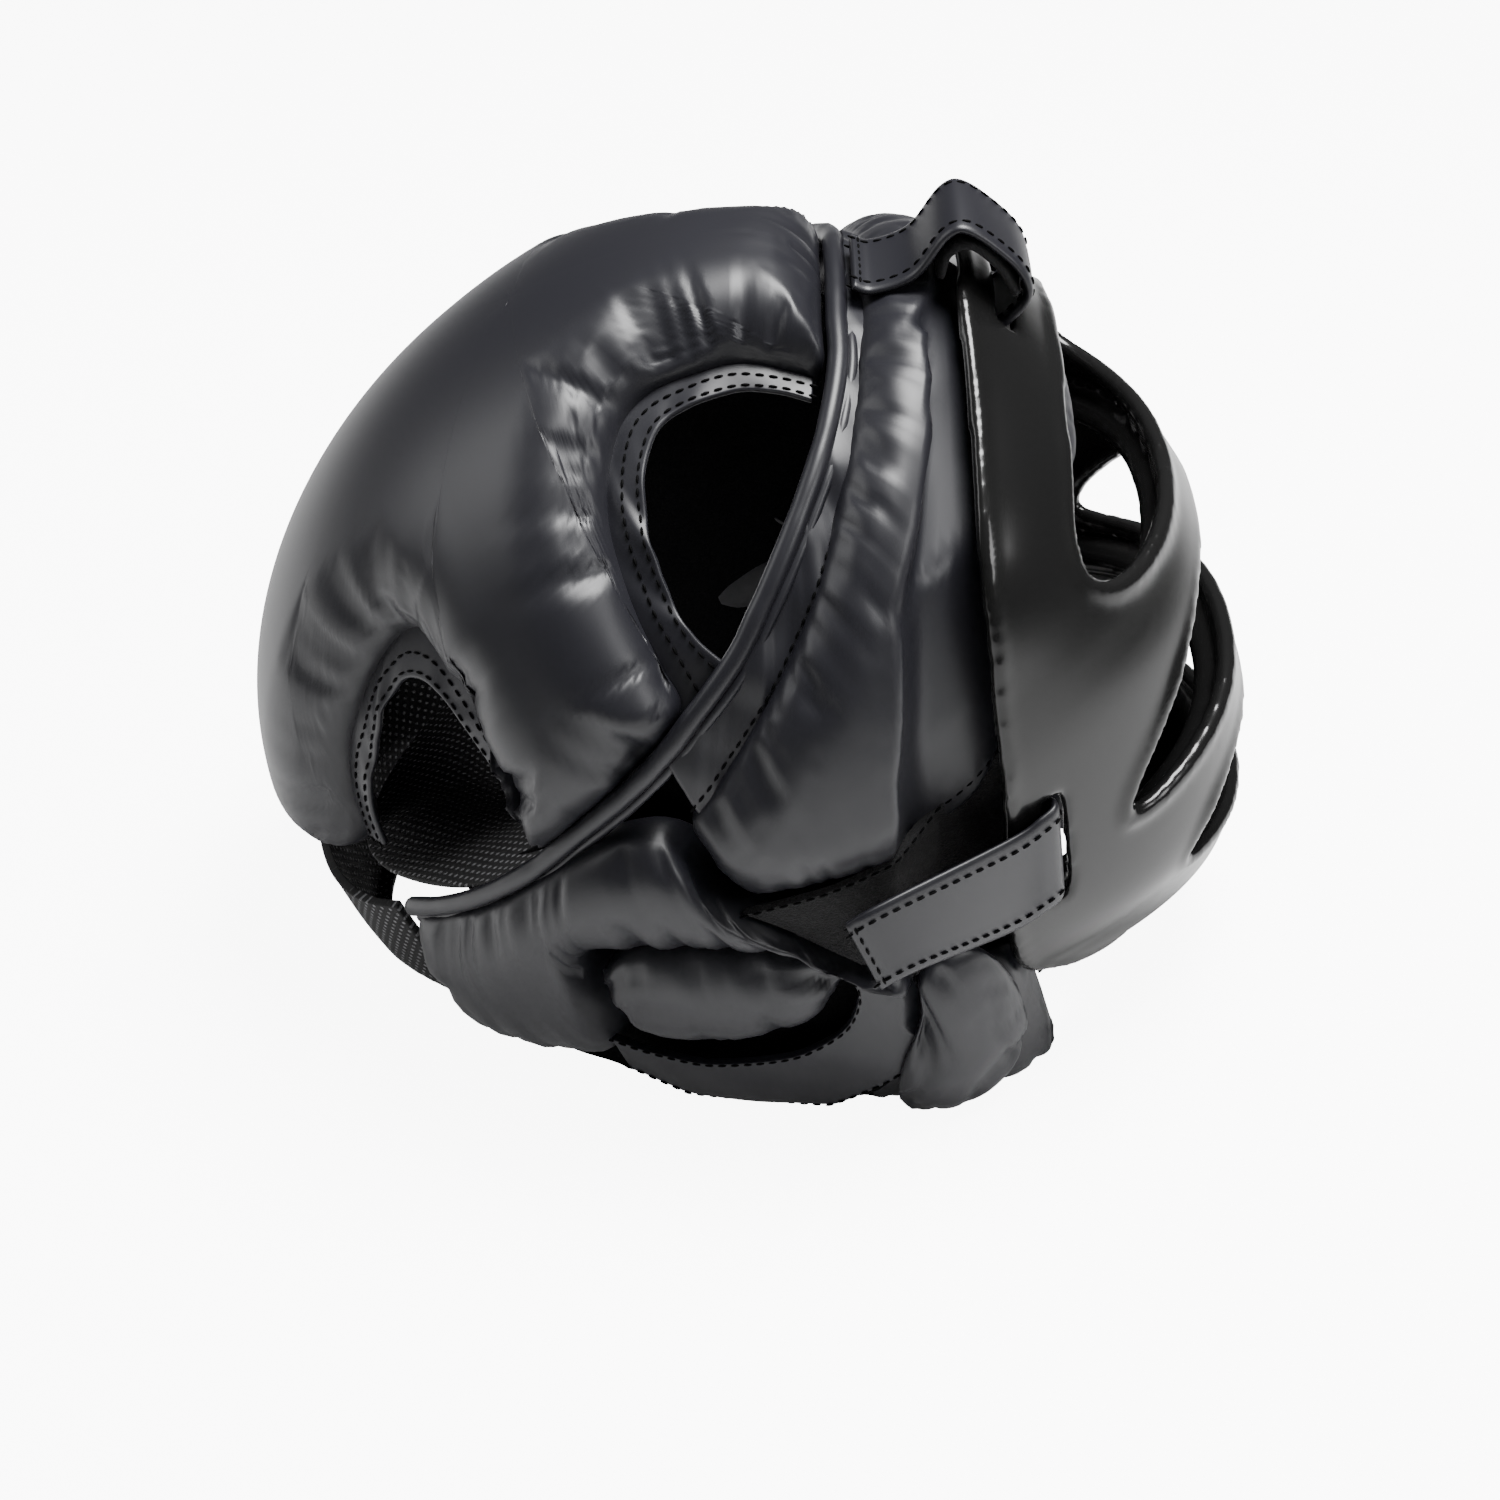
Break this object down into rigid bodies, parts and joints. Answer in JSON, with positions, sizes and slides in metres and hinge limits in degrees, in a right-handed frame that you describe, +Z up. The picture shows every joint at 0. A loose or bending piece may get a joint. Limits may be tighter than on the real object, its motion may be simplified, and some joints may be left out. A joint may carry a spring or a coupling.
{
  "type": "sparring headgear with face shield",
  "caption": "Black padded leather sparring headgear with open crown, ear openings and a moulded plastic face shield held on by straps, standing on its neck rim.",
  "frame": {"origin": "middle of the base, on the surface that the headgear stands on", "axes": "+X forward out of the face, +Y to the wearer's left, +Z up"},
  "size_m": [0.2744, 0.233, 0.2177],
  "materials": {
    "leather": "satin",
    "plastic": "gloss",
    "mesh_lining": "matte",
    "loop_pile": "matte"
  },
  "bodies": {
    "root": {"crown_pad": "leather", "forehead_pad": "leather", "chin_pad": "leather", "rear_flap": "mesh_lining", "seam_strip": "leather", "piping": "leather", "face_cage": "plastic", "strap_top": "leather", "strap_chin": "leather", "side_pad_right": "leather", "ear_pad_right": "leather", "cheek_pad_right": "leather", "jaw_pad_right": "leather", "ear_band_right": "leather", "loop_patch_right": "loop_pile", "strap_right": "leather", "hole_band_front_right": "leather", "hole_band_rear_right": "leather", "side_pad_left": "leather", "ear_pad_left": "leather", "cheek_pad_left": "leather", "jaw_pad_left": "leather", "ear_band_left": "leather", "loop_patch_left": "loop_pile", "strap_left": "leather", "hole_band_front_left": "leather", "hole_band_rear_left": "leather"}
  },
  "joints": []
}
